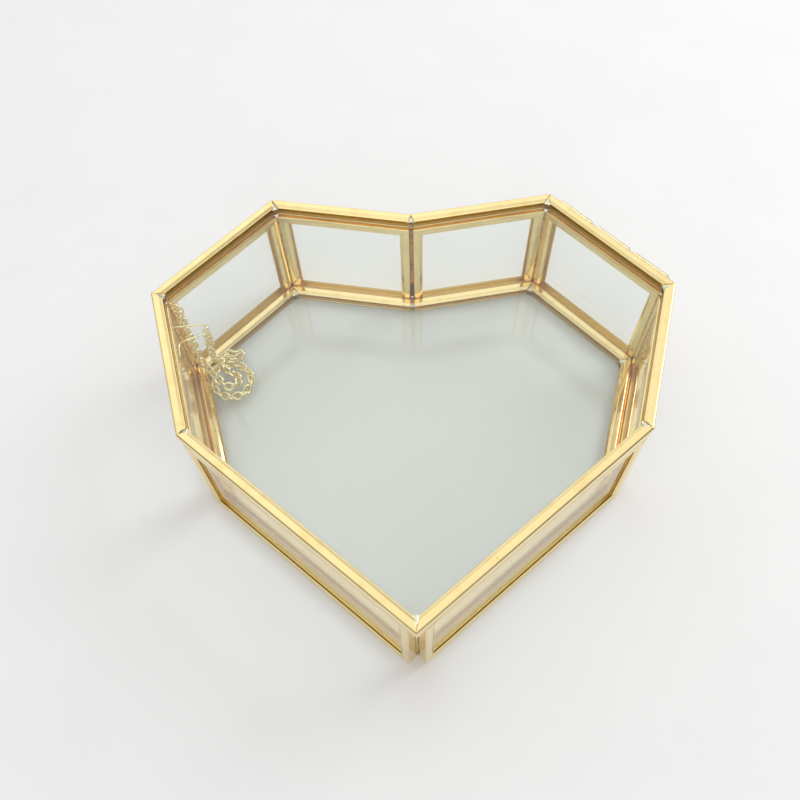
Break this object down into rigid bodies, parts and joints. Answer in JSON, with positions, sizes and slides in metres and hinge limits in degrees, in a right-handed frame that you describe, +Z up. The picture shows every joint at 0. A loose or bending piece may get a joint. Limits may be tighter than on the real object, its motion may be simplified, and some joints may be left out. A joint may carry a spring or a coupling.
{
  "type": "jewelry box",
  "caption": "Heart-shaped clear glass jewelry box in folded brass channel frames, with a glass lid hinged on one shoulder and a fine keeper chain inside",
  "frame": {"origin": "on the table, under the middle of the box's plan box", "axes": "+X to the box's right seen from its front tip, +Y from the tip to the notch, +Z up"},
  "size_m": [0.2, 0.177, 0.0551],
  "materials": {
    "brass": "polished",
    "chain_brass": "polished",
    "glass": "clear",
    "solder": "satin"
  },
  "bodies": {
    "box": {"floor_frame": "brass", "floor_glass": "glass", "floor_solder": "solder", "back_left_frame": "brass", "back_right_frame": "brass", "shoulder_right_frame": "brass", "side_right_frame": "brass", "front_right_frame": "brass", "front_left_frame": "brass", "side_left_frame": "brass", "shoulder_left_frame": "brass", "back_left_glass": "glass", "back_right_glass": "glass", "shoulder_right_glass": "glass", "side_right_glass": "glass", "front_right_glass": "glass", "front_left_glass": "glass", "side_left_glass": "glass", "shoulder_left_glass": "glass", "left_lobe_seam": "solder", "notch_seam": "solder", "right_lobe_seam": "solder", "right_side_seam": "solder", "right_hip_seam": "solder", "tip_seam": "solder", "left_hip_seam": "solder", "left_side_seam": "solder", "hinge_knuckles_box": "brass", "hinge_pin": "brass", "chain_eye": "chain_brass", "chain_ring": "chain_brass", "keeper_chain": "chain_brass"},
    "lid": {"lid_frame": "brass", "lid_glass": "glass", "lid_solder": "solder", "hinge_knuckle_lid": "brass"}
  },
  "joints": [
    {"name": "lid_hinge", "type": "hinge", "parent": "box", "child": "lid", "pos_m": [0.0799, 0.06628, 0.0514], "axis": [-0.675, 0.7378, 0], "range_deg": [0, 100]}
  ]
}
